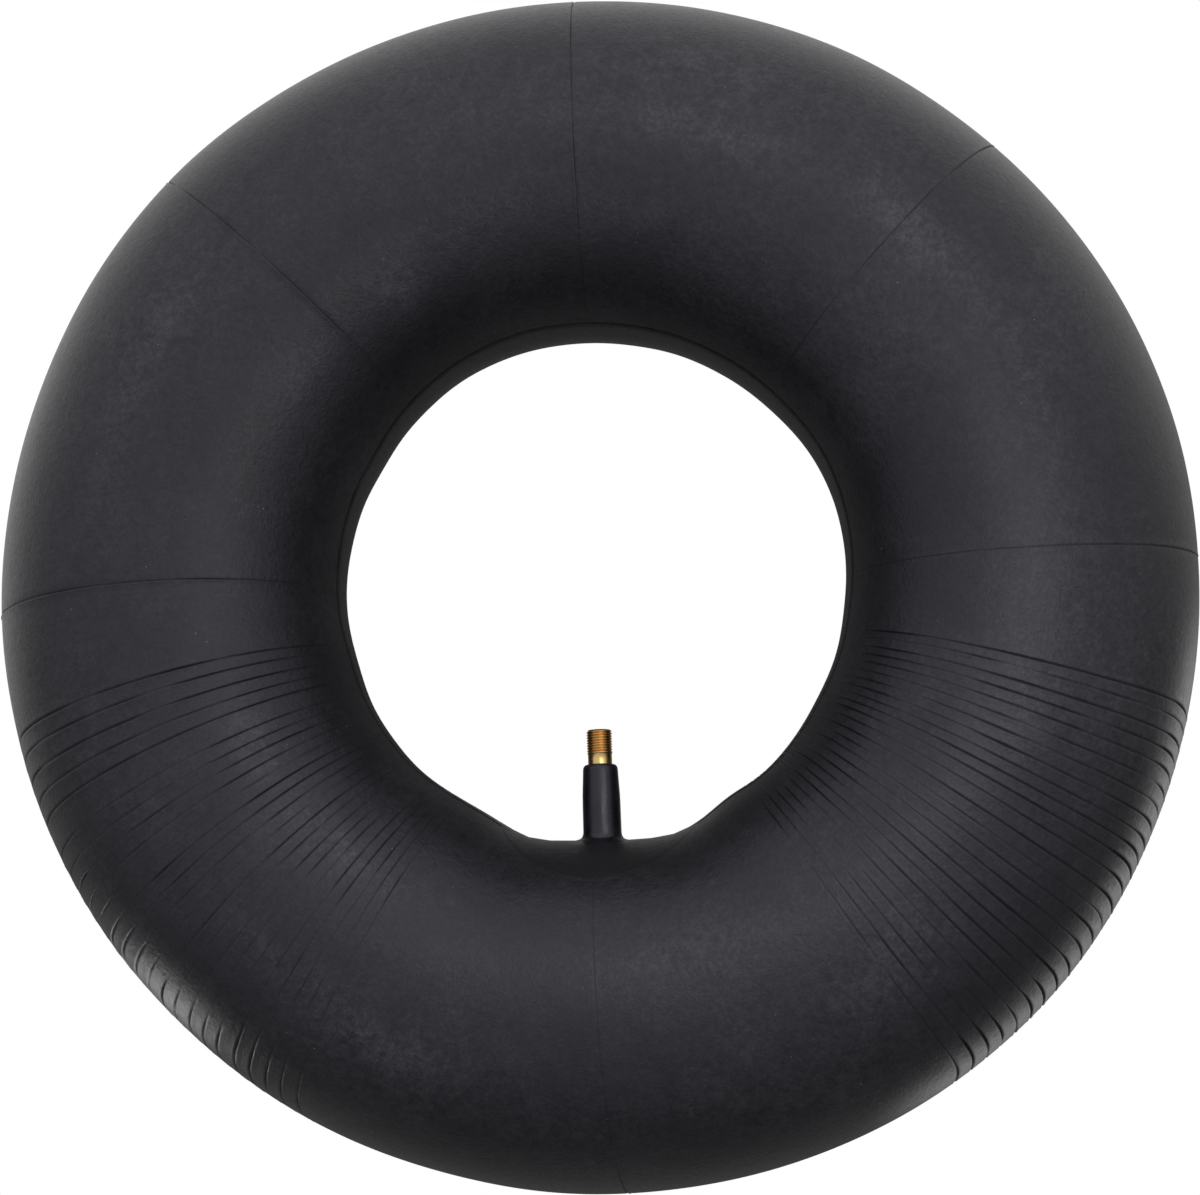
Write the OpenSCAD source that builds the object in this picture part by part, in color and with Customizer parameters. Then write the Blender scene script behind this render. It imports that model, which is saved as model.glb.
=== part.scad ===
/* [Tube] */
// Outside diameter of the inflated tube
tube_od = 362; // [330:1:400]
// Diameter of the hole through the middle
hole_d = 152.4; // [135:0.1:180]
// Thickness of the rubber wall
wall_t = 1.8; // [1.2:0.1:2.5]
// Width of the flat ring that the tube rests on
foot_w = 20; // [10:1:40]

/* [Valve patch] */
// Length of the oval patch, measured across the tube
patch_l = 72; // [64:1:76]
// Width of the patch, measured around the hole
patch_w = 64; // [30:1:64]
// Thickness of the patch
patch_t = 0.8; // [0.6:0.1:2]

/* [Valve stem] */
// How far the stem stands out of the tube
stem_h = 33; // [32:0.5:40]
// Length of bare brass above the rubber jacket
bare_l = 10.4; // [9:0.1:12]
// Outside diameter of the cap thread
cap_thread_d = 7.7; // [7.6:0.05:7.8]
// Length of the cap thread
cap_thread_l = 7.2; // [6:0.1:8]
// Diameter of the jacket where it sits in the rim
jacket_d = 11.4; // [10.8:0.1:12]
// Diameter of the jacket at its top
jacket_top_d = 10.5; // [9.8:0.1:10.8]

/* [Valve core] */
// Diameter of the core's own thread
core_thread_d = 5.2; // [5:0.05:5.25]
// Diameter of the pin
pin_d = 1.1; // [0.9:0.05:1.2]
// Running clearance around the core's moving pieces
clear = 0.05; // [0.02:0.01:0.08]

/* [Hidden] */
$fn = 96;

// The tube is a ring of round section that lies flat, with its axis along Z.
section_r = (tube_od - hole_d) / 4;
ring_r = (tube_od + hole_d) / 4;
centre_z = sqrt(section_r ^ 2 - (foot_w / 2) ^ 2);

// The valve points along +Y, from the wall of the hole towards the middle.
// Every depth below is measured from the stem's tip, inwards.
tip_y = stem_h - hole_d / 2;

// Brass stem: cap thread, plain neck, an anchor ring held by the rubber, and a tail through the wall.
cap_r = cap_thread_d / 2;
cap_chamfer = 0.5;
neck_r = 3.6;
anchor_r = 4.6;
anchor_top = stem_h - 5;
anchor_end = stem_h - 3.5;
tail_r = 3;
tail_end = stem_h + wall_t;

// Stepped hole down the stem: core thread, sloping seat, then the air way.
mouth_r = core_thread_d / 2 + clear;
mouth_chamfer = 0.35;
air_r = 2.05;
seat_top = 8;
seat_end = 9.6;

// Rubber jacket: round shoulder, slight taper, straight land for the rim, flared foot.
shoulder_r = 1.6;
taper_end = bare_l + 9;
flare_r = 2.5;
foot_r = jacket_d / 2 + flare_r;
flare_top = stem_h - patch_t - flare_r;

// Core plug: a head with two flats for the core tool, above the thread.
pin_r = pin_d / 2;
plug_top = 1;
plug_head_r = 2.2;
plug_flats = 2.8;
plug_thread_top = 3;
plug_end = 6.6;
plug_bore_r = 0.95;

// The plug turns on a flange at the top of the barrel.
flange_r = 1.7;
flange_top = 5.35;
flange_end = 5.95;
swivel_r = 1.4;

// Core barrel: gasket groove outside, spring chamber inside.
barrel_r = 1.75;
gasket_bore_r = 1.45;
gasket_top = 7.25;
gasket_end = 9.15;
collar_above_gasket = 0.45;
barrel_end = 15.5;
pin_way_r = 0.8;
lip_r = 0.95;
chamber_r = 1.35;
chamber_top = 9.5;
chamber_end = 14.8;

// Pin with a head, a collar that carries the spring, and a riveted lower end.
pin_top = 0.3;
pin_head_r = 0.75;
pin_head_end = 1.1;
collar_r = 1.05;
collar_top = 9.7;
collar_end = 10.1;
rivet_r = 0.9;
rivet_end = 17.9;

// Cup with its rubber seal, which closes the barrel's lower end.
seal_gap = 0.02;
seal_r = 1.6;
cup_r = 1.85;
cup_rim = barrel_end + 0.25;
seal_end = barrel_end + 0.95;
cup_end = 17.4;

// Radius of the sloping seat at a depth
function seat_radius(depth) =
    mouth_r - (mouth_r - air_r) * (depth - seat_top) / (seat_end - seat_top);

// Places a valve piece that is drawn with depth along its own +Z
module on_valve() {
    translate([0, tip_y, centre_z])
        rotate([90, 0, 0])
            children();
}

// A round valve piece, from its outline of [radius, depth] points
module turned(outline) {
    on_valve()
        rotate_extrude()
            polygon(outline);
}

// Outline of the tube's section, flat where it rests, grown outwards or inwards
module section_outline(grow) {
    intersection() {
        translate([ring_r, centre_z])
            circle(section_r + grow, $fn = 180);
        translate([0, -grow])
            square([tube_od, 3 * section_r]);
    }
}

// Solid ring with the tube's section
module ring_solid(grow) {
    rotate_extrude($fn = 360)
        section_outline(grow);
}

// Hollow rubber ring with an air hole under the valve
module tube_body() {
    color("#303236")
        difference() {
            rotate_extrude($fn = 360)
                difference() {
                    section_outline(0);
                    section_outline(-wall_t);
                }
            on_valve()
                translate([0, 0, stem_h - 1])
                    cylinder(h = wall_t + 4, r = tail_r);
        }
}

// Flat outline with two round ends, as long as the patch
module patch_outline() {
    straight = patch_l - patch_w;
    square([patch_w, straight], center = true);
    for (side = [-1, 1])
        translate([0, side * straight / 2])
            circle(patch_w / 2);
}

// Thin oval patch that follows the wall around the valve's foot
module valve_patch() {
    color("#2a2c30")
        intersection() {
            rotate_extrude($fn = 360)
                difference() {
                    section_outline(patch_t);
                    section_outline(0);
                }
            on_valve()
                translate([0, 0, anchor_top])
                    linear_extrude(height = section_r / 2)
                        difference() {
                            patch_outline();
                            circle(tail_r);
                        }
        }
}

// Rubber jacket that covers the lower stem and flares onto the patch
module stem_jacket() {
    top_r = jacket_top_d / 2;
    land_r = jacket_d / 2;
    color("#26282b")
        difference() {
            on_valve()
                rotate_extrude()
                    difference() {
                        union() {
                            polygon([
                                [neck_r, bare_l], [top_r - shoulder_r, bare_l],
                                [top_r - shoulder_r, bare_l + shoulder_r], [top_r, bare_l + shoulder_r],
                                [land_r, taper_end], [land_r, flare_top],
                                [foot_r, flare_top], [foot_r, tail_end],
                                [tail_r, tail_end], [tail_r, anchor_end],
                                [anchor_r, anchor_end], [anchor_r, anchor_top], [neck_r, anchor_top]
                            ]);
                            intersection() {
                                translate([top_r - shoulder_r, bare_l + shoulder_r])
                                    circle(shoulder_r);
                                translate([neck_r, bare_l])
                                    square([top_r, 2 * shoulder_r]);
                            }
                        }
                        translate([foot_r, flare_top])
                            circle(flare_r);
                    }
            ring_solid(patch_t);
        }
}

// Brass stem with the cap thread outside and the stepped core hole inside
module stem_insert() {
    color("#c79a3a")
        turned([
            [mouth_r + mouth_chamfer, 0], [cap_r - cap_chamfer, 0],
            [cap_r, cap_chamfer], [cap_r, cap_thread_l],
            [neck_r, cap_thread_l], [neck_r, anchor_top],
            [anchor_r, anchor_top], [anchor_r, anchor_end],
            [tail_r, anchor_end], [tail_r, tail_end],
            [air_r, tail_end], [air_r, seat_end],
            [mouth_r, seat_top], [mouth_r, mouth_chamfer]
        ]);
}

// Screw plug that holds the core in the stem and turns on the barrel's flange
module core_plug() {
    color("#d0a94e")
        difference() {
            union() {
                turned([
                    [plug_bore_r, plug_thread_top], [core_thread_d / 2, plug_thread_top],
                    [core_thread_d / 2, plug_end], [swivel_r + clear, plug_end],
                    [swivel_r + clear, flange_end + clear], [flange_r + clear, flange_end + clear],
                    [flange_r + clear, flange_top - clear], [plug_bore_r, flange_top - clear]
                ]);
                on_valve()
                    translate([0, 0, plug_top])
                        linear_extrude(height = plug_thread_top - plug_top)
                            intersection() {
                                circle(plug_head_r);
                                square([3 * plug_head_r, plug_flats], center = true);
                            }
            }
            on_valve()
                cylinder(h = plug_thread_top + 1, r = plug_bore_r);
        }
}

// Soft ring that seals the barrel against the stem's sloping seat
module core_gasket() {
    color("#e8e4d8")
        turned([
            [gasket_bore_r, gasket_top], [mouth_r - clear, gasket_top],
            [mouth_r - clear, seat_top], [seat_radius(gasket_end) - clear, gasket_end],
            [gasket_bore_r, gasket_end]
        ]);
}

// Barrel with the swivel flange on top, the gasket groove and the spring chamber
module core_barrel() {
    color("#c8a04a")
        turned([
            [pin_way_r, flange_top], [flange_r, flange_top],
            [flange_r, flange_end], [swivel_r, flange_end],
            [swivel_r, gasket_top - collar_above_gasket], [barrel_r, gasket_top - collar_above_gasket],
            [barrel_r, gasket_top], [gasket_bore_r, gasket_top],
            [gasket_bore_r, gasket_end], [barrel_r, gasket_end],
            [barrel_r, barrel_end], [lip_r, barrel_end],
            [lip_r, chamber_end], [chamber_r, chamber_end],
            [chamber_r, chamber_top], [pin_way_r, chamber_top]
        ]);
}

// Room that the coil spring fills between the pin's collar and the barrel's lip
module core_spring() {
    coil_r = chamber_r - clear;
    coil_hole_r = pin_r + 2 * clear;
    color("#b8bcc0")
        turned([
            [coil_hole_r, collar_end], [coil_r, collar_end],
            [coil_r, chamber_end], [coil_hole_r, chamber_end]
        ]);
}

// Pin that is pressed to let air in or out
module core_pin() {
    color("#cfae62")
        turned([
            [0, pin_top], [pin_head_r, pin_top],
            [pin_head_r, pin_head_end], [pin_r, pin_head_end],
            [pin_r, collar_top], [collar_r, collar_top],
            [collar_r, collar_end], [pin_r, collar_end],
            [pin_r, cup_end], [rivet_r, cup_end],
            [rivet_r, rivet_end], [0, rivet_end]
        ]);
}

// Rubber washer that closes the barrel
module core_seal() {
    color("#1c1c1c")
        turned([
            [pin_r, barrel_end + seal_gap], [seal_r, barrel_end + seal_gap],
            [seal_r, seal_end], [pin_r, seal_end]
        ]);
}

// Brass cup that carries the washer on the pin
module core_cup() {
    color("#c8a04a")
        turned([
            [seal_r, cup_rim], [cup_r, cup_rim],
            [cup_r, cup_end], [pin_r, cup_end],
            [pin_r, seal_end], [seal_r, seal_end]
        ]);
}

tube_body();
valve_patch();
stem_jacket();
stem_insert();
core_plug();
core_gasket();
core_barrel();
core_spring();
core_pin();
core_seal();
core_cup();
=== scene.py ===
"""The visual model of a small-wheel inner tube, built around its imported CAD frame.

The tube lies flat, and its valve points across the hole along +Y. A place on the rubber is given by two
angles in degrees. The ring angle goes round the hole from +X. The section angle goes round the rubber's own
cross-section: 0 at the outer rim, 90 on top, 180 at the hole and 270 underneath.
"""

import math
from dataclasses import dataclass

import bpy
import numpy as np
from mathutils import Matrix, Vector


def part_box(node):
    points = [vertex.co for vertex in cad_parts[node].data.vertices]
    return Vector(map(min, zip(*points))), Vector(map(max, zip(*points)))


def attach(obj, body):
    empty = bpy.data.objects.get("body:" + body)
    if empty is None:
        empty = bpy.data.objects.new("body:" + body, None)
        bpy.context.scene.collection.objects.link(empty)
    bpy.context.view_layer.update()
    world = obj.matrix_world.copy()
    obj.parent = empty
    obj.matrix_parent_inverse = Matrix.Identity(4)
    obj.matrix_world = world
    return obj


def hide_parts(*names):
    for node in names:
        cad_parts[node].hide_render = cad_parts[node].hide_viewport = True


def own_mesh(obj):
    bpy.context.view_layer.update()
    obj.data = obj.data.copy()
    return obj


MM = 0.001

# ---------------------------------------------------------------- sizes taken from the frame

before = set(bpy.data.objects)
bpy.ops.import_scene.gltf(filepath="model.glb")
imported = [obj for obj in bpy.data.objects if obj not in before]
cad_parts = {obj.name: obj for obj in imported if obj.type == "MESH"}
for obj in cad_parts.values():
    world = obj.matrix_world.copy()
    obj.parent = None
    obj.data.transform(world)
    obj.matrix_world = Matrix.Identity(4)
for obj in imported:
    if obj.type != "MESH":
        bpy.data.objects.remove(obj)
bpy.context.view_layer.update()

tube_low, tube_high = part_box("tube_body")
stem_low, stem_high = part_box("stem_insert")
patch_low, patch_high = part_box("valve_patch")

OUTER_R = (tube_high.x - tube_low.x) / 2
CENTRE_Z = (stem_low.z + stem_high.z) / 2
SECTION_R = tube_high.z - CENTRE_Z
RING_R = OUTER_R - SECTION_R
TIP_Y = stem_high.y
PATCH_HALF_X = (patch_high.x - patch_low.x) / 2
PATCH_HALF_Z = (patch_high.z - patch_low.z) / 2

# ---------------------------------------------------------------- the rubber's plain shape

VALVE_RING = 270
HOLE_SECTION = 180

# Ring angle, half-width in degrees, height in mm: where the outer rim stands out or falls in a little.
RIM_SWELLS = (
    (46, 12, -0.5),
    (94, 11, -0.4),
    (134, 15, 1.35),
    (198, 24, -0.8),
    (232, 15, -0.85),
    (252, 9, -0.45),
    (308, 26, 2.1),
)
# The same for the rim of the hole, where a positive height narrows the hole.
HOLE_SWELLS = (
    (28, 11, -0.85),
    (116, 18, -1.2),
    (148, 8, 0.6),
    (194, 10, 0.9),
    (214, 12, 0.55),
    (238, 12, 1.5),
    (255, 8, -2.5),
    (270, 8, -1.2),
    (285, 9, -2.8),
    (301, 6, 0.8),
    (328, 12, 0.95),
    (352, 12, 0.8),
)
# Waves round the ring, waves round the section, and height in mm. All are turned back by WAVE_TURN degrees.
WAVE_TURN = 47
SLOW_WAVES = (
    (3, 1, 0.16),
    (5, 2, 0.10),
    (8, -1, 0.08),
    (13, 3, 0.05),
    (21, -2, 0.03),
)


def bump(angle, centre, half_width):
    """1 at the centre angle, and near 0 from two half-widths away on."""
    gap = (angle - centre + 180) % 360 - 180
    return np.exp(-((gap / half_width) ** 2))


def swells(ring, rows):
    """The heights of a list of swells at these ring angles, in metres."""
    return sum(height * MM * bump(ring, centre, width) for centre, width, height in rows)


def swell_height(ring, section):
    """How far the rubber stands off a perfect ring, in metres."""
    facing_rim = np.clip(np.cos(np.radians(section)), 0, 1) ** 2
    facing_hole = np.clip(-np.cos(np.radians(section)), 0, 1) ** 2
    height = facing_rim * swells(ring, RIM_SWELLS) + facing_hole * swells(ring, HOLE_SWELLS)
    for around_ring, around_section, wave in SLOW_WAVES:
        turn = around_ring * (ring + WAVE_TURN) + around_section * section
        height = height + wave * MM * np.sin(np.radians(turn))
    return height


def on_rubber(ring, section, lift):
    """Points on the rubber at these angles, lifted off it by lift metres. The foot is flat on the floor."""
    ring_turn = np.radians(ring)
    section_turn = np.radians(section)
    radius = SECTION_R + swell_height(ring, section) + lift
    out = RING_R + radius * np.cos(section_turn)
    height = np.maximum(CENTRE_Z + radius * np.sin(section_turn), 0)
    return np.stack([out * np.cos(ring_turn), out * np.sin(ring_turn), height], axis=-1)


# ---------------------------------------------------------------- lines pressed into the rubber

# Offset across the line in degrees of ring angle, and the share of the line's height there.
CREASE_PROFILE = (
    (-0.34, 0.00),
    (-0.20, 0.12),
    (-0.11, -0.35),
    (0.00, -1.00),
    (0.11, -0.35),
    (0.20, 0.22),
    (0.34, 0.00),
)
MOULD_PROFILE = (
    (-0.24, 0.00),
    (-0.10, -0.35),
    (0.00, -1.00),
    (0.10, 0.45),
    (0.24, 0.00),
)
# Offset across the seam in degrees of section angle, and height in mm.
SEAM_PROFILE = (
    (-3.0, 0.00),
    (-1.4, 0.06),
    (-0.6, 0.04),
    (0.0, -0.24),
    (0.6, 0.06),
    (1.4, 0.22),
    (2.8, 0.20),
    (5.0, 0.08),
    (8.5, 0.00),
)
# The seam's section angle, how far it swings to each side of that, and the ring angle where it lies highest.
SEAM_SECTION = 165.5
SEAM_SWING = 3.8
SEAM_HIGHEST_RING = 28

# Section angle and the share of a line's height there. Strong creases run over the whole visible side.
STRONG_RIGHT = (
    (0, 1.6), (8, 2.2), (18, 2.2), (30, 1.0), (60, 0.9), (100, 0.9), (118, 0.4), (128, 0.9), (138, 1.5),
    (148, 0.8), (160, 0.2), (172, 0.4), (190, 0.4), (215, 0.0), (325, 0.0), (345, 0.6), (360, 1.6),
)
FAINT_RIGHT = (
    (0, 1.7), (8, 2.4), (22, 2.4), (32, 0.8), (45, 0.5), (62, 0.9), (85, 0.6), (102, 0.4), (114, 0.15),
    (127, 0.7), (137, 1.8), (146, 0.8), (158, 0.2), (170, 0.7), (190, 0.5), (215, 0.0), (320, 0.0),
    (340, 0.8), (360, 1.7),
)
STRONG_LEFT = (
    (0, 0.8), (24, 1.0), (60, 0.8), (110, 1.0), (130, 0.9), (150, 0.4),
    (175, 0.2), (200, 0.0), (330, 0.0), (360, 0.8),
)
FAINT_LEFT = (
    (0, 1.4), (12, 1.4), (30, 1.3), (42, 0.2), (58, 0.15), (68, 0.8), (80, 0.45), (96, 0.4), (107, 1.1),
    (124, 1.1), (134, 0.5), (150, 0.5), (166, 0.5), (190, 0.4), (215, 0.0), (320, 0.0), (340, 0.8),
    (360, 1.5),
)
MOULD_LINE = (
    (0, 2.2), (24, 1.8), (40, 1.0), (110, 1.0), (150, 0.8),
    (170, 0.0), (190, 0.0), (210, 0.8), (340, 1.0), (360, 2.2),
)


@dataclass(frozen=True)
class Line:
    """A thin line that runs round the section at one ring angle. Its depth wavers along its length."""

    angle: float
    height: float
    band: tuple
    band_shift: float
    wavering: float
    profile: tuple
    widening: float

    def share_at(self, section):
        """The share of the line's height at these section angles. Each line wavers in its own places."""
        sections, shares = zip(*self.band)
        share = np.interp((section + self.band_shift) % 360, sections, shares)
        quick = np.sin(np.radians(11 * section + 40 * self.band_shift))
        slow = np.sin(np.radians(4 * section + 17 * self.angle))
        return share * (1 - self.wavering * (0.5 + 0.5 * quick * slow))

    def spread_at(self, section):
        """How many times wider than its profile the line is. Creases open out at the outer rim."""
        return 1 + self.widening * bump(section, 0, 24)


def creases(first, last, count, depth, band, rng):
    """Evenly spaced fold lines. Each differs a little from the next in place, depth and reach."""
    lines = []
    for angle in np.linspace(first, last, count):
        lines.append(Line(
            angle=angle + rng.uniform(-0.12, 0.12),
            height=depth * rng.uniform(0.65, 1.2),
            band=band,
            band_shift=rng.uniform(-5, 5),
            wavering=rng.uniform(0.3, 0.9),
            profile=CREASE_PROFILE,
            widening=rng.uniform(0.05, 0.35),
        ))
    return lines


# For each eighth of a turn, how far its mould line is off it in degrees, and the line's height in mm.
# The creases hide the lines at the sixth and the eighth.
MOULD_LINES = (
    (-0.4, 0.20),
    (-0.3, 0.26),
    (-0.8, 0.26),
    (-1.3, 0.30),
    (0.2, 0.34),
    (0.0, 0.26),
    (0.7, 0.14),
    (0.0, 0.26),
)


def mould_lines(rng):
    """Fine lines every eighth of a turn, left by the mould, and deepest at the outer rim."""
    lines = []
    for eighth, (shift, height) in enumerate(MOULD_LINES):
        lines.append(Line(
            angle=45 * eighth + shift,
            height=height * MM,
            band=MOULD_LINE,
            band_shift=rng.uniform(-8, 8),
            wavering=rng.uniform(0.2, 0.6),
            profile=MOULD_PROFILE,
            widening=0.0,
        ))
    return lines


def rubber_lines():
    """All creases, and the mould lines that stand clear of them."""
    rng = np.random.default_rng(11)
    folds = [
        *creases(-14.7, -29.1, 10, 0.46 * MM, STRONG_RIGHT, rng),
        *creases(-30.5, -55.3, 15, 0.46 * MM, FAINT_RIGHT, rng),
        *creases(201.1, 192.5, 5, 0.52 * MM, STRONG_LEFT, rng),
        *creases(204.6, 238.6, 19, 0.42 * MM, FAINT_LEFT, rng),
    ]
    clear = [
        line for line in mould_lines(rng)
        if all(abs((line.angle - fold.angle + 180) % 360 - 180) > 1 for fold in folds)
    ]
    return folds + clear


def smooth(share):
    """Eases a share from 0 to 1 in and out."""
    return share * share * (3 - 2 * share)


# The stretches of ring angles with creases, and the degrees over which their lean fades out beside them.
RIGHT_CREASES = (-56, -14)
LEFT_CREASES = (192, 239)
SECTOR_FADE = 8

# How strongly lines lean off their ring angle, in degrees, and the section angle where they don't.
RIGHT_BOW = 0.35
LEFT_SWEEP = 0.5
MOULD_LEAN = 0.7
RIM_HOOK = 1.5
UPRIGHT_SECTION = 65
LEFT_UPRIGHT_SECTION = 75


def sector(ring, first, last):
    """1 inside a stretch of ring angles, falling smoothly to 0 outside it."""
    middle = (first + last) / 2
    half = abs(last - first) / 2
    gap = np.abs((ring - middle + 180) % 360 - 180)
    return smooth(np.clip((half + SECTOR_FADE - gap) / SECTOR_FADE, 0, 1))


def line_lean(ring, section):
    """How far the lines lean off their ring angle, in degrees.

    They bow on the right, sweep on the left, and hook down at the outer rim on both sides.
    """
    right = sector(ring, *RIGHT_CREASES)
    left = sector(ring, *LEFT_CREASES)
    bow = RIGHT_BOW * (1 - np.cos(2 * np.radians(section - UPRIGHT_SECTION)))
    sweep = -LEFT_SWEEP * np.sin(np.radians(section - LEFT_UPRIGHT_SECTION))
    plain = -MOULD_LEAN * np.sin(np.radians(section - UPRIGHT_SECTION))
    hook = RIM_HOOK * bump(section, -5, 18)
    return right * (bow - hook) + left * (sweep + hook) + (1 - right - left) * plain


# ---------------------------------------------------------------- talc left on the rubber, and painted highlights

# Ring angle, section angle, half-widths along both, and how much lighter the rubber is there: partly talc
# left on it, partly a painted highlight where the studio light shines.
TALC_AND_HIGHLIGHT_SPOTS = (
    (43, 81, 7, 7, 1.0),
    (74, 85, 14, 6, 0.6),
    (18, 78, 18, 6, 0.35),
    (74, 62, 9, 7, 0.4),
    (80, 116, 6, 5, 0.4),
    (122, 122, 6, 8, 0.7),
    (143, 121, 9, 6, 0.6),
    (155, 74, 14, 7, 0.45),
    (206, 113, 7, 7, 0.9),
    (228, 114, 11, 7, 0.9),
    (231, 73, 9, 5, 0.5),
    (245, 66, 7, 6, 0.6),
    (283, 103, 15, 8, 0.45),
    (308, 72, 8, 12, 0.5),
    (340, 82, 8, 8, 0.35),
)


# The band of talc round the outer shoulder: section angle, half-width, and the most talc in it.
TALC_BAND = (62, 30, 0.3)


def talc_and_painted_highlight(ring, section):
    """How much lighter the rubber is at these places, from 0 to 1: a band of talc round the far side, and the
    spots, which are partly talc and partly painted highlight.
    """
    away_from_valve = 0.6 + 0.4 * np.sin(np.radians(ring))
    band_section, half_band, most = TALC_BAND
    talc = most * away_from_valve * bump(section, band_section, half_band) + sum(
        amount * bump(ring, spot_ring, half_ring) * bump(section, spot_section, half_section)
        for spot_ring, spot_section, half_ring, half_section, amount in TALC_AND_HIGHLIGHT_SPOTS
    )
    return np.clip(talc, 0, 1)


# ---------------------------------------------------------------- meshes


def mesh_object(name, points, faces, marks=None):
    """A smooth object from points and faces. marks are values kept at each point for the material."""
    mesh = bpy.data.meshes.new(name)
    mesh.from_pydata(points.tolist(), [], faces)
    mesh.update()
    mesh.shade_smooth()
    for mark, values in (marks or {}).items():
        layer = mesh.attributes.new(mark, "FLOAT", "POINT")
        layer.data.foreach_set("value", np.asarray(values, np.float32).ravel())
    made = bpy.data.objects.new(name, mesh)
    bpy.context.scene.collection.objects.link(made)
    return made


def grid_faces(rows, columns, closed_rows):
    """Four-sided faces of a grid whose last column joins its first, and its last row too if closed_rows."""
    faces = []
    for row in range(rows if closed_rows else rows - 1):
        here = row * columns
        after = (row + 1) % rows * columns
        for column in range(columns):
            beside = (column + 1) % columns
            faces.append((here + column, here + beside, after + beside, after + column))
    return faces


def grid_object(name, points, closed_rows, marks=None, flip=False):
    """An object from a grid of points, as rows x columns x 3."""
    rows, columns = points.shape[:2]
    faces = grid_faces(rows, columns, closed_rows)
    if flip:
        faces = [face[::-1] for face in faces]
    return mesh_object(name, points.reshape(-1, 3), faces, marks)


# Degrees between the grid's columns and rows where nothing is pressed into the rubber.
PLAIN_COLUMN_STEP = 0.75
PLAIN_ROW_STEP = 3.4
# A groove this deep gets the full painted shade in the rubber's colour, in metres.
FULL_SHADE_GROOVE = 0.25 * MM


def tube_columns():
    """Ring angles of the grid. Each has the line it belongs to, its offset from it, and its share of it."""
    columns = [
        (line.angle + offset, line, offset, share)
        for line in rubber_lines()
        for offset, share in line.profile
    ]
    taken = np.array([column[0] for column in columns])
    for angle in np.arange(0, 360, PLAIN_COLUMN_STEP):
        nearest = np.min(np.abs((taken - angle + 180) % 360 - 180))
        if nearest > PLAIN_COLUMN_STEP / 2:
            columns.append((angle, None, 0.0, 0.0))
    return sorted(columns, key=lambda column: column[0] % 360)


def tube_rows():
    """Section angles of the grid, each with the seam's height there. They follow the seam at the hole."""
    rows = [(SEAM_SECTION + offset, height * MM) for offset, height in SEAM_PROFILE]
    low = rows[0][0]
    high = rows[-1][0]
    for section in np.arange(0, 360, PLAIN_ROW_STEP):
        if section < low - PLAIN_ROW_STEP / 2 or section > high + PLAIN_ROW_STEP / 2:
            rows.append((section, 0.0))
    return sorted(rows)


def seam_lean(ring, section):
    """How far the rows near the seam move to follow it: fully up to 15 degrees from it, and not past 45."""
    near = smooth(np.clip((45 - np.abs(section - SEAM_SECTION)) / 30, 0, 1))
    return -SEAM_SWING * np.cos(np.radians(ring - SEAM_HIGHEST_RING)) * near


def make_tube():
    """The tube's outer skin, with its creases, mould lines and seam."""
    columns = tube_columns()
    rows = tube_rows()
    section = np.array([row[0] for row in rows])[:, None]
    seam = np.array([row[1] for row in rows])[:, None]
    ring = np.tile([column[0] for column in columns], (len(rows), 1))
    lines = np.zeros(ring.shape)
    for index, (_, line, offset, share) in enumerate(columns):
        if line is not None:
            ring[:, index] = line.angle + offset * line.spread_at(section[:, 0])
            lines[:, index] = share * line.height * line.share_at(section[:, 0])
    marks = {
        # groove holds how deep each point lies in a line or the seam; the rubber's colour uses it for painted
        # shade.
        "groove": np.clip(-(lines + seam) / FULL_SHADE_GROOVE, 0, 1),
        # talc holds talc left on the rubber together with painted highlights, as a share from 0 to 1.
        "talc": talc_and_painted_highlight(ring, section),
    }
    leaning_ring = ring + line_lean(ring, section)
    leaning_section = section + seam_lean(ring, section)
    points = on_rubber(leaning_ring, leaning_section, lines + seam)
    return grid_object("tube_skin", points, closed_rows=True, marks=marks)


PATCH_THICK = 0.8 * MM
# Share of the way from the patch's middle to its edge, and share of its thickness there.
PATCH_EDGE = (
    (0.00, 1.00),
    (0.25, 1.00),
    (0.50, 0.88),
    (0.70, 0.55),
    (0.85, 0.30),
    (0.94, 0.15),
    (0.98, 0.09),
    (0.99, 0.06),
    (1.00, -0.03),
)


def on_patch(x, rise, lift):
    """Points over the tube at a place beside and above the valve's axis, lifted off it."""
    section = HOLE_SECTION - np.degrees(np.arcsin(rise / SECTION_R))
    out = RING_R + SECTION_R * np.cos(np.radians(section))
    ring = VALVE_RING + np.degrees(np.arcsin(x / out))
    return on_rubber(ring, section, lift)


def make_patch():
    """The oval patch under the valve, thinned to nothing at its edge. The jacket hides its middle."""
    turns = np.radians(np.arange(0, 360, 5))[None, :]
    share = np.array([max(row[0], 0.02) for row in PATCH_EDGE])[:, None]
    x = share * PATCH_HALF_X * np.cos(turns)
    rise = share * PATCH_HALF_Z * np.sin(turns)
    thickness = PATCH_THICK * np.array([row[1] for row in PATCH_EDGE])[:, None]
    points = on_patch(x, rise, thickness + 0 * turns)
    return grid_object("patch_skin", points, closed_rows=False, flip=True)


# ---------------------------------------------------------------- the valve


# Points round each turned piece.
TURNED_STEPS = 96


def on_valve(depth, radius, turn):
    """Points round the valve's axis. depth is measured from the tip of the stem, down towards the rubber."""
    x = radius * np.cos(turn)
    z = CENTRE_Z + radius * np.sin(turn)
    return np.stack([x, TIP_Y - depth + 0 * turn, z], axis=-1)


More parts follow.
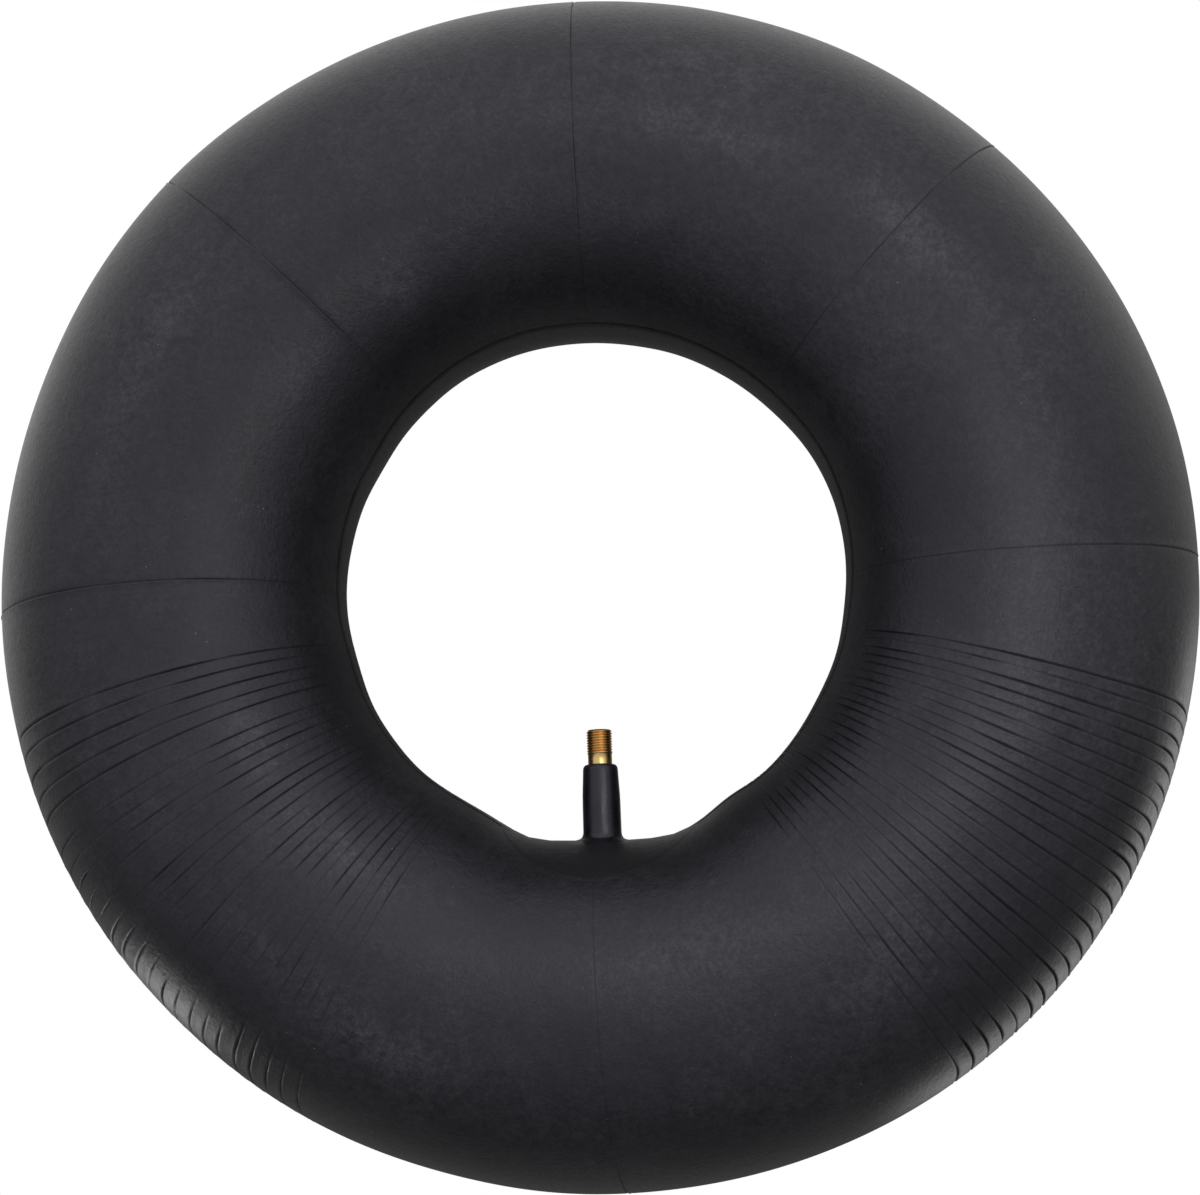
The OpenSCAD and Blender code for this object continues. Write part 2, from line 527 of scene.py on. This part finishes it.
def turned(name, outline, shape):
    """A closed ring turned round the valve's axis from an outline of (radius, depth) in mm.

    shape(radius, depth, turn) changes the radius to cut threads or flats, and gives the groove as well.
    """
    plain_radius = np.array([point[0] for point in outline])[:, None] * MM
    depth = np.array([point[1] for point in outline])[:, None] * MM
    turn = np.radians(np.arange(TURNED_STEPS) * 360 / TURNED_STEPS)[None, :]
    radius, groove = shape(plain_radius + 0 * turn, depth, turn)
    return grid_object(name, on_valve(depth, radius, turn), closed_rows=True, marks={"groove": groove})


def along(radius, start, end, step):
    """Outline points at one radius, close enough together to carry a thread."""
    count = max(2, round(abs(end - start) / step) + 1)
    return [(radius, depth) for depth in np.linspace(start, end, count)]


def thread_cut(depth, turn, pitch):
    """0 on the crest of a right-hand thread and 1 at its root."""
    phase = (depth / pitch - turn / (2 * math.pi)) % 1
    return np.clip(1.6 * np.abs(2 * phase - 1) - 0.3, 0, 1)


# The stem's sizes in mm, with 32 turns of cap thread and 36 of core thread to the inch.
CAP_THREAD_R = 3.85
CAP_THREAD_END = 7.2
CAP_THREAD_DEEP = 0.38
CAP_PITCH = 25.4 / 32
STEM_RIM_R = 3.2
NECK_R = 3.6
NECK_END = 28.0
ANCHOR_R = 4.6
TAIL_R = 3.0
TAIL_END = 34.8
AIR_R = 2.05
SEAT_TOP = 8.0
SEAT_END = 9.6
MOUTH_R = 2.65
MOUTH_CHAMFER = 0.35
MOUTH_THREAD_TOP = 0.6
MOUTH_THREAD_END = 7.8
CORE_PITCH = 25.4 / 36
CORE_THREAD_DEEP = 0.32
# A thread reaches its full depth over this length.
RUN_IN = 0.5
# Radii in metres closer than this are the same.
SAME = 1e-6


def insert_shape(radius, depth, turn):
    """Cuts the cap thread outside and the core thread inside the stem's mouth."""
    outside = (radius > STEM_RIM_R * MM) & (depth < CAP_THREAD_END * MM)
    starting = np.clip(depth / (RUN_IN * MM), 0, 1)
    ending = np.clip((CAP_THREAD_END * MM - depth) / (RUN_IN * MM), 0, 1)
    cap_cut = outside * thread_cut(depth, turn, CAP_PITCH * MM) * starting * ending
    inside = (np.abs(radius - MOUTH_R * MM) < SAME) & (depth > MOUTH_THREAD_TOP * MM)
    stopping = np.clip((MOUTH_THREAD_END * MM - depth) / (RUN_IN * MM), 0, 1)
    core_cut = inside * thread_cut(depth, turn, CORE_PITCH * MM) * stopping
    changed = radius - cap_cut * CAP_THREAD_DEEP * MM + core_cut * CORE_THREAD_DEEP * MM
    return changed, cap_cut + core_cut


def make_stem():
    """The brass stem, from its mouth down its outside and back up its bore."""
    outline = [
        (MOUTH_R + MOUTH_CHAMFER, 0.0),
        (STEM_RIM_R, 0.0),
        (3.34, 0.03),
        (3.80, 0.48),
        *along(CAP_THREAD_R, 0.55, CAP_THREAD_END - 0.15, 0.09),
        (3.78, CAP_THREAD_END - 0.05),
        (NECK_R, CAP_THREAD_END + 0.12),
        (NECK_R, 9.0),
        (NECK_R, 12.0),
        (NECK_R, NECK_END),
        (ANCHOR_R, NECK_END + 0.05),
        (ANCHOR_R, NECK_END + 1.45),
        (TAIL_R, NECK_END + 1.5),
        (TAIL_R, TAIL_END),
        (AIR_R, TAIL_END),
        (AIR_R, 20.0),
        (AIR_R, SEAT_END),
        (MOUTH_R, SEAT_TOP),
        *along(MOUTH_R, 7.9, 0.4, 0.09),
    ]
    return turned("stem_brass", outline, insert_shape)


# The jacket's outline above its flare: radius and depth in mm, from the top of the shoulder down.
JACKET_TOP = (
    (3.55, 10.75),
    (3.62, 10.42),
    (3.95, 10.40),
    (4.60, 10.62),
    (5.00, 11.05),
    (5.20, 11.60),
    (5.26, 12.30),
    (5.34, 14.20),
    (5.48, 16.80),
    (5.62, 19.40),
    (5.68, 22.50),
    (5.70, 25.50),
    (5.72, 28.00),
)
# The flare on the patch: radius and height above the patch in mm.
JACKET_FLARE = (
    (5.75, 2.45),
    (5.90, 1.70),
    (6.20, 1.05),
    (6.70, 0.55),
    (7.40, 0.24),
    (7.95, 0.12),
    (8.20, -0.15),
)


def make_jacket():
    """The rubber jacket, whose flare follows the patch all round."""
    turn = np.radians(np.arange(0, 360, 5))
    top = [on_valve(depth * MM, radius * MM, turn) for radius, depth in JACKET_TOP]
    flare = []
    for radius, height in JACKET_FLARE:
        x = radius * MM * np.cos(turn)
        rise = radius * MM * np.sin(turn)
        surface = on_patch(x, rise, PATCH_THICK + height * MM)
        flare.append(np.stack([x, surface[:, 1], CENTRE_Z + rise], axis=-1))
    return grid_object("jacket_skin", np.array(top + flare), closed_rows=False)


# The plug's sizes in mm. Its flats are cut outside FLATS_FROM_R, at PLUG_FLAT from the axis.
PLUG_BORE_R = 0.95
PLUG_HEAD_R = 2.2
PLUG_HEAD_END = 3.0
PLUG_FLAT = 1.4
FLATS_FROM_R = 1.2
PLUG_THREAD_R = 2.6
PLUG_END = 6.6
PLUG_HOLLOW_R = 1.9


def plug_shape(radius, depth, turn):
    """Cuts two flats on the plug's head for the key, and the thread below them."""
    head = (radius > FLATS_FROM_R * MM) & (depth < PLUG_HEAD_END * MM)
    flat = PLUG_FLAT * MM / np.maximum(np.abs(np.cos(turn)), 1e-3)
    changed = np.where(head, np.minimum(radius, flat), radius)
    threaded = np.abs(radius - PLUG_THREAD_R * MM) < SAME
    cut = threaded * thread_cut(depth, turn, CORE_PITCH * MM)
    return changed - cut * CORE_THREAD_DEEP * MM, cut


def make_plug():
    """The brass plug that holds the core in the stem."""
    outline = [
        (PLUG_BORE_R, 1.15),
        (1.10, 1.00),
        (PLUG_HEAD_R - 0.25, 1.00),
        (PLUG_HEAD_R, 1.25),
        (PLUG_HEAD_R, PLUG_HEAD_END - 0.02),
        (PLUG_HEAD_R + 0.1, PLUG_HEAD_END + 0.02),
        (PLUG_THREAD_R - 0.2, PLUG_HEAD_END + 0.05),
        *along(PLUG_THREAD_R, PLUG_HEAD_END + 0.2, PLUG_END - 0.2, 0.08),
        (PLUG_THREAD_R - 0.3, PLUG_END - 0.02),
        (PLUG_HOLLOW_R, PLUG_END),
        (PLUG_HOLLOW_R, 5.40),
        (PLUG_BORE_R, 5.30),
        (PLUG_BORE_R, 3.20),
    ]
    return turned("plug_brass", outline, plug_shape)


# The spring's sizes in mm. SPRING_WIRE is the radius of its wire.
SPRING_TOP = 10.1
SPRING_END = 14.8
SPRING_TURNS = 8
SPRING_R = 0.975
SPRING_WIRE = 0.16


def make_spring():
    """A coil of wire between the pin's collar and the end of the barrel."""
    steps = 24 * SPRING_TURNS
    share = np.linspace(0, 1, steps + 1)[:, None]
    turn = share * SPRING_TURNS * 2 * math.pi
    around = np.radians(np.arange(0, 360, 45))[None, :]
    radius = (SPRING_R + SPRING_WIRE * np.cos(around)) * MM
    travel = SPRING_END - SPRING_TOP - 2 * SPRING_WIRE
    depth = (SPRING_TOP + SPRING_WIRE + travel * share + SPRING_WIRE * np.sin(around)) * MM
    points = np.stack(
        [radius * np.cos(turn), TIP_Y - depth, CENTRE_Z + radius * np.sin(turn)],
        axis=-1,
    )
    return grid_object("core_coil", points, closed_rows=False)


# ---------------------------------------------------------------- materials


class Nodes:
    """A node tree, with short calls for the nodes used below. place is the point being shaded."""

    def __init__(self, tree, coordinates):
        self.tree = tree
        self.place = self.node("ShaderNodeTexCoord").outputs[coordinates]

    def node(self, kind, **settings):
        made = self.tree.nodes.new(kind)
        for name, value in settings.items():
            setattr(made, name, value)
        return made

    def link(self, value, socket):
        """Sets a socket to a number or colour, or joins it to another node's output."""
        if isinstance(value, bpy.types.NodeSocket):
            self.tree.links.new(value, socket)
        else:
            socket.default_value = value

    def maths(self, operation, first, second):
        made = self.node("ShaderNodeMath", operation=operation)
        self.link(first, made.inputs[0])
        self.link(second, made.inputs[1])
        return made.outputs["Value"]

    def vector_maths(self, operation, first, second):
        """For the operations that make a number of two vectors."""
        made = self.node("ShaderNodeVectorMath", operation=operation)
        self.link(first, made.inputs[0])
        self.link(second, made.inputs[1])
        return made.outputs["Value"]

    def remap(self, value, low, high, to_low, to_high, curve="LINEAR"):
        """Moves values from one range to another, and holds them at its ends."""
        made = self.node("ShaderNodeMapRange", interpolation_type=curve)
        self.link(value, made.inputs["Value"])
        self.link(low, made.inputs["From Min"])
        self.link(high, made.inputs["From Max"])
        self.link(to_low, made.inputs["To Min"])
        self.link(to_high, made.inputs["To Max"])
        return made.outputs["Result"]

    def ramp(self, value, low, high, to_low, to_high):
        """Like remap, but easing in and out."""
        return self.remap(value, low, high, to_low, to_high, curve="SMOOTHSTEP")


class Shader(Nodes):
    """A material's node tree, which ends in one principled surface."""

    def __init__(self, name):
        self.material = bpy.data.materials.new(name)
        self.material.use_nodes = True
        super().__init__(self.material.node_tree, "Object")
        self.surface = self.tree.nodes["Principled BSDF"]

    def noise(self, size, detail=3, roughness=0.5, seed=0.0, contrast=(0.35, 0.65)):
        """Noise whose blobs are about size metres across, stretched to run from 0 to 1."""
        made = self.node("ShaderNodeTexNoise", noise_dimensions="4D")
        self.link(self.place, made.inputs["Vector"])
        made.inputs["W"].default_value = seed
        made.inputs["Scale"].default_value = 1 / size
        made.inputs["Detail"].default_value = detail
        made.inputs["Roughness"].default_value = roughness
        return self.remap(made.outputs["Fac"], contrast[0], contrast[1], 0, 1)

    def mix(self, share, first, second):
        """Between two colours: the first where share is 0, the second where it is 1."""
        made = self.node("ShaderNodeMix", data_type="RGBA")
        self.link(share, made.inputs["Factor"])
        self.link(first, made.inputs["A"])
        self.link(second, made.inputs["B"])
        return made.outputs["Result"]

    def specks(self, spacing, radius, seed):
        """1 in small round spots about spacing metres apart, and 0 between them."""
        moved = self.node("ShaderNodeMapping")
        moved.inputs["Location"].default_value = (seed, seed / 3, seed / 7)
        self.link(self.place, moved.inputs["Vector"])
        cells = self.node("ShaderNodeTexVoronoi")
        self.link(moved.outputs["Vector"], cells.inputs["Vector"])
        cells.inputs["Scale"].default_value = 1 / spacing
        spot = radius / spacing
        return self.remap(cells.outputs["Distance"], spot, spot * 1.6, 1, 0)

    def mark(self, name):
        """A value kept at the points of the mesh."""
        made = self.node("ShaderNodeAttribute", attribute_name=name)
        return made.outputs["Fac"]

    def bump(self, height, strength, distance, under=None):
        made = self.node("ShaderNodeBump")
        made.inputs["Strength"].default_value = strength
        made.inputs["Distance"].default_value = distance
        self.link(height, made.inputs["Height"])
        if under is not None:
            self.link(under, made.inputs["Normal"])
        return made.outputs["Normal"]

    def finish(self, colour, roughness, normal, metallic=0.0):
        self.link(colour, self.surface.inputs["Base Color"])
        self.link(roughness, self.surface.inputs["Roughness"])
        self.link(normal, self.surface.inputs["Normal"])
        self.surface.inputs["Metallic"].default_value = metallic
        return self.material


def bloomed_rubber(name, cover):
    """Satin black butyl rubber with a thin uneven coat of talc and painted highlights over this share of it,
    and painted shade in its grooves.
    """
    s = Shader(name)
    patches = s.noise(0.055, detail=5, roughness=0.6, contrast=(0.40, 0.66))
    mottle = s.noise(0.007, detail=5, roughness=0.7, seed=3.0)
    grain = s.noise(0.0009, detail=2, seed=5.0)
    flecks = s.noise(0.0022, detail=5, roughness=0.8, seed=7.0, contrast=(0.42, 0.60))
    # The talc mark carries talc and painted highlights; the noise patches are talc alone.
    spread = s.maths("ADD", s.remap(patches, 0, 1, 0.08, 0.36), s.maths("MULTIPLY", s.mark("talc"), 0.8))
    broken = s.maths("ADD", s.remap(mottle, 0, 1, 0.1, 0.8), s.remap(flecks, 0, 1, -0.1, 0.65))
    talc_and_highlight = s.maths("MULTIPLY", s.maths("MULTIPLY", spread, broken), cover)
    # Lighter where there is talc, and a painted highlight on the bands the studio light shines on.
    rubber = s.mix(talc_and_highlight, (0.0048, 0.0048, 0.0062, 1), (0.062, 0.061, 0.062, 1))
    grained = s.mix(s.remap(grain, 0, 1, 0, 0.5), rubber, (0.0030, 0.0030, 0.0040, 1))
    spot = s.maths("MULTIPLY", s.specks(0.005, 0.00013, 0.4), s.noise(0.02, seed=8.0, contrast=(0.45, 0.6)))
    dusted = s.mix(spot, grained, (0.22, 0.22, 0.22, 1))
    # Painted shade: the colour goes near black in creases, mould lines and the seam.
    colour = s.mix(s.mark("groove"), dusted, (0.0012, 0.0012, 0.0015, 1))
    satin = s.maths("ADD", s.remap(talc_and_highlight, 0, 1, 0.36, 0.50), s.remap(grain, 0, 1, -0.03, 0.03))
    roughness = s.maths("MAXIMUM", satin, s.maths("MULTIPLY", s.mark("groove"), 0.95))
    soft = s.bump(mottle, 0.3, 0.00015)
    normal = s.bump(s.maths("ADD", grain, flecks), 0.75, 0.00005, under=soft)
    return s.finish(colour, roughness, normal)


def dark_rubber(name, tint, seed):
    """Moulded black rubber, smoother than the tube's."""
    s = Shader(name)
    mottle = s.noise(0.004, detail=4, roughness=0.6, seed=seed)
    grain = s.noise(0.0006, detail=2, seed=seed + 2)
    darker = tuple(0.7 * part for part in tint) + (1,)
    lighter = tuple(1.4 * part for part in tint) + (1,)
    colour = s.mix(mottle, darker, lighter)
    roughness = s.remap(mottle, 0, 1, 0.24, 0.36)
    normal = s.bump(grain, 0.3, 0.00002, under=s.bump(mottle, 0.2, 0.00008))
    return s.finish(colour, roughness, normal)


def brass(name, base, tarnish, seed):
    """Turned brass, browned down in its threads and marked by handling."""
    s = Shader(name)
    wear = s.noise(0.0022, detail=4, roughness=0.6, seed=seed)
    grain = s.noise(0.0003, detail=2, seed=seed + 2)
    bright = s.mix(wear, base + (1,), tuple(0.82 * part for part in base) + (1,))
    colour = s.mix(s.mark("groove"), bright, tarnish + (1,))
    roughness = s.remap(wear, 0, 1, 0.20, 0.34)
    normal = s.bump(grain, 0.2, 0.00002)
    return s.finish(colour, roughness, normal, metallic=1.0)


def steel():
    """Bright spring wire."""
    s = Shader("spring_steel")
    wear = s.noise(0.001, detail=3)
    colour = s.mix(wear, (0.55, 0.55, 0.56, 1), (0.40, 0.40, 0.42, 1))
    roughness = s.remap(wear, 0, 1, 0.22, 0.36)
    normal = s.bump(wear, 0.15, 0.00002)
    return s.finish(colour, roughness, normal, metallic=1.0)


def gasket_plastic():
    """The core's red plastic gasket."""
    s = Shader("gasket_plastic")
    wear = s.noise(0.0012, detail=3)
    colour = s.mix(wear, (0.42, 0.035, 0.03, 1), (0.30, 0.025, 0.02, 1))
    roughness = s.remap(wear, 0, 1, 0.35, 0.50)
    normal = s.bump(wear, 0.15, 0.00003)
    return s.finish(colour, roughness, normal)


# ---------------------------------------------------------------- the stage


# The colour of the studio's light, and of the light off its floor.
STUDIO_TINT = (0.985, 0.957, 1.11, 1)
FLOOR_TINT = (1, 0.99, 0.995, 1)

# How bright the walls are, what is added just above them, overhead and behind, and the least brightness.
# WALL_TOP is the height of a direction, from 0 at the horizon to 1 straight up, where the walls end.
WALL_GLOW = 0.31
ABOVE_WALLS_GLOW = 0.6
WALL_TOP = 0.3
CEILING_GLOW = 0.22
BACK_GLOW = 0.33
LEAST_GLOW = 0.05


def direction_glow(nodes):
    """How bright the studio is in each direction: dim low down and in front, bright overhead and behind."""
    split = nodes.node("ShaderNodeSeparateXYZ")
    nodes.link(nodes.place, split.inputs[0])
    rise = nodes.maths("MAXIMUM", split.outputs["Z"], 0.0)
    ceiling = nodes.maths("MULTIPLY", rise, CEILING_GLOW)
    above_walls = nodes.maths("MULTIPLY", nodes.maths("MINIMUM", rise, WALL_TOP), ABOVE_WALLS_GLOW)
    back = nodes.maths("MULTIPLY", split.outputs["Y"], BACK_GLOW)
    upper = nodes.maths("ADD", ceiling, above_walls)
    glow = nodes.maths("ADD", upper, nodes.maths("ADD", back, WALL_GLOW))
    return nodes.maths("MAXIMUM", glow, LEAST_GLOW)


def white_for_camera(nodes, glow_kind, tint, brightness, output_kind):
    """Joins a plain white glow for the camera with another brightness for everything the studio lights."""
    white = nodes.node(glow_kind)
    white.inputs["Color"].default_value = (1, 1, 1, 1)
    light = nodes.node(glow_kind)
    light.inputs["Color"].default_value = tint
    nodes.link(brightness, light.inputs["Strength"])
    path = nodes.node("ShaderNodeLightPath")
    both = nodes.node("ShaderNodeMixShader")
    nodes.link(path.outputs["Is Camera Ray"], both.inputs["Fac"])
    nodes.link(light.outputs[0], both.inputs[1])
    nodes.link(white.outputs[0], both.inputs[2])
    output = nodes.node(output_kind)
    nodes.link(both.outputs[0], output.inputs["Surface"])


def make_world():
    world = bpy.data.worlds.new("studio")
    world.use_nodes = True
    bpy.context.scene.world = world
    world.node_tree.nodes.clear()
    nodes = Nodes(world.node_tree, "Generated")
    brightness = direction_glow(nodes)
    white_for_camera(nodes, "ShaderNodeBackground", STUDIO_TINT, brightness, "ShaderNodeOutputWorld")


# How the floor's brightness changes with y, or with the distance from the middle:
# the two ends of each change in metres, and the brightness or the share of it at both.
TO_BACK = (-0.13, 0.30, 0.22, 1.02)
# CLEAR_OF_TUBE dims the floor's glow close round the tube, as a painted shadow.
CLEAR_OF_TUBE = (0.165, 0.225, 0.26, 1.0)
FAR_OFF = (0.30, 0.50, 1.0, 0.74)
# Places on the floor that shine back at the rubber: x and y in mm, radius in mm, and brightness.
FLOOR_GLOWS = (
    (-202, -165, 38, 4.2),
    (-255, 45, 150, 0.4),
    (0, -62, 55, 0.3),
)
# A stretch of floor along the lower right rim: distance from the middle and half-width in mm,
# ring angle, the cosines between which it fades out at its ends, and brightness.
RIM_GLOW = (224, 27, -33, 0.84, 0.936, 1.9)


def rim_glow(nodes, reach):
    """The brightness of the stretch of floor along the rim. reach is the distance from the middle."""
    distance, half_width, angle, dark, bright, brightness = RIM_GLOW
    away = nodes.node("ShaderNodeVectorMath", operation="NORMALIZE")
    nodes.link(nodes.place, away.inputs[0])
    towards = (math.cos(math.radians(angle)), math.sin(math.radians(angle)), 0)
    facing = nodes.vector_maths("DOT_PRODUCT", away.outputs["Vector"], towards)
    inner = nodes.ramp(reach, (distance - half_width) * MM, distance * MM, 0, 1)
    outer = nodes.ramp(reach, distance * MM, (distance + half_width) * MM, brightness, 0)
    along_rim = nodes.ramp(facing, dark, bright, 0, 1)
    return nodes.maths("MULTIPLY", nodes.maths("MULTIPLY", inner, outer), along_rim)


def floor_glow(nodes):
    """How bright the floor looks to the rubber: lightest behind, with a painted shadow near the tube, and
    with bright places.
    """
    split = nodes.node("ShaderNodeSeparateXYZ")
    nodes.link(nodes.place, split.inputs[0])
    reach = nodes.vector_maths("DISTANCE", nodes.place, (0, 0, 0))
    near_tube = nodes.maths("MULTIPLY", nodes.ramp(reach, *CLEAR_OF_TUBE), nodes.ramp(reach, *FAR_OFF))
    glow = nodes.maths("MULTIPLY", nodes.ramp(split.outputs["Y"], *TO_BACK), near_tube)
    glow = nodes.maths("ADD", glow, rim_glow(nodes, reach))
    for x, y, radius, brightness in FLOOR_GLOWS:
        distance = nodes.vector_maths("DISTANCE", nodes.place, (x * MM, y * MM, 0))
        place_glow = nodes.ramp(distance, 0.3 * radius * MM, radius * MM, brightness, 0)
        glow = nodes.maths("ADD", glow, place_glow)
    return glow


FLOOR_HALF = 3.0
# The floor lies this far below the rubber's foot, so that the two faces don't coincide.
FLOOR_DROP = 0.3 * MM


def make_floor():
    corners = [(x * FLOOR_HALF, y * FLOOR_HALF, -FLOOR_DROP) for x, y in ((-1, -1), (1, -1), (1, 1), (-1, 1))]
    floor = mesh_object("floor", np.array(corners), [(0, 1, 2, 3)])
    material = bpy.data.materials.new("floor_white")
    material.use_nodes = True
    material.node_tree.nodes.clear()
    nodes = Nodes(material.node_tree, "Object")
    brightness = floor_glow(nodes)
    white_for_camera(nodes, "ShaderNodeEmission", FLOOR_TINT, brightness, "ShaderNodeOutputMaterial")
    floor.data.materials.append(material)


def soft_panel(name, place, aim, width, height, watts):
    """A lamp with a flat rectangular face, which the camera doesn't see."""
    light = bpy.data.lights.new(name, "AREA")
    light.shape = "RECTANGLE"
    light.size = width
    light.size_y = height
    light.energy = watts
    made = bpy.data.objects.new(name, light)
    made.location = place
    made.rotation_mode = "QUATERNION"
    made.rotation_quaternion = (Vector(aim) - Vector(place)).to_track_quat("-Z", "Y")
    made.visible_camera = False
    bpy.context.scene.collection.objects.link(made)


def make_lights():
    """A wide soft light over the back of the tube, and a strip that draws a line of light down the valve."""
    middle = (0, 0, CENTRE_Z)
    soft_panel("ceiling_panel", (0.15, 0.75, 1.3), middle, 1.0, 0.8, 0.9)
    soft_panel("valve_strip", (0.13, -0.005, 0.39), (0, -0.055, CENTRE_Z), 0.045, 0.22, 0.12)


# The camera's distance in metres, how far it is off the vertical, its turn, its lens in mm, and its aim.
CAMERA_DISTANCE = 1.2
CAMERA_RIGHT = math.sin(math.radians(4.9))
CAMERA_DOWN = math.sin(math.radians(8.2))
CAMERA_TURN = math.radians(-1.9)
CAMERA_LENS = 119.2
CAMERA_AIM = Vector((1.7 * MM, -2.9 * MM, CENTRE_Z))


def make_camera():
    """Looks down on the tube from a little to the right and below, turned so that the valve leans left."""
    camera = bpy.data.objects.new("camera", bpy.data.cameras.new("camera"))
    up = math.sqrt(1 - CAMERA_RIGHT**2 - CAMERA_DOWN**2)
    towards = Vector((CAMERA_RIGHT, -CAMERA_DOWN, up))
    sideways = Vector((0, 1, 0)).cross(towards).normalized()
    upright = towards.cross(sideways)
    turn = Matrix.Rotation(CAMERA_TURN, 3, "Z")
    facing = Matrix((sideways, upright, towards)).transposed()
    camera.location = turn @ (CAMERA_AIM + towards * CAMERA_DISTANCE)
    camera.rotation_mode = "QUATERNION"
    camera.rotation_quaternion = (turn @ facing).to_quaternion()
    camera.data.lens = CAMERA_LENS
    camera.data.clip_start = 0.05
    bpy.context.scene.collection.objects.link(camera)
    bpy.context.scene.camera = camera


# ---------------------------------------------------------------- putting it together


def place(piece, body, node, material, slot):
    """The piece stands for a CAD node: it moves with that node's body and has its finish."""
    piece.data.materials.append(material)
    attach(piece, body)
    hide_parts(node)


def repaint(node, material):
    """Gives a CAD node that is shown as it is a procedural material."""
    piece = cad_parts[node]
    piece.data.materials.clear()
    piece.data.materials.append(material)


stem_metal = brass("stem_brass", (0.93, 0.65, 0.24), (0.55, 0.25, 0.06), 2.0)
core_metal = brass("core_brass", (0.80, 0.60, 0.30), (0.36, 0.20, 0.08), 9.0)
jacket_rubber = dark_rubber("jacket_rubber", (0.009, 0.009, 0.011), 6.0)
seal_rubber = dark_rubber("seal_rubber", (0.012, 0.012, 0.013), 12.0)

place(make_tube(), "tube", "tube_body", bloomed_rubber("tube_rubber", 1.0), "tube_rubber")
place(make_patch(), "tube", "valve_patch", bloomed_rubber("patch_rubber", 0.4), "patch_rubber")
place(make_jacket(), "tube", "stem_jacket", jacket_rubber, "jacket_rubber")
place(make_stem(), "tube", "stem_insert", stem_metal, "stem_brass")
place(make_plug(), "plug", "core_plug", core_metal, "core_brass")

coil = make_spring()
place(coil, "core", "core_spring", steel(), "spring_steel")
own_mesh(coil)

for brass_node in ("core_pin", "core_barrel", "core_cup"):
    repaint(brass_node, core_metal)
repaint("core_gasket", gasket_plastic())
repaint("core_seal", seal_rubber)

make_world()
make_floor()
make_lights()
make_camera()
bpy.context.scene.view_settings.view_transform = "Standard"
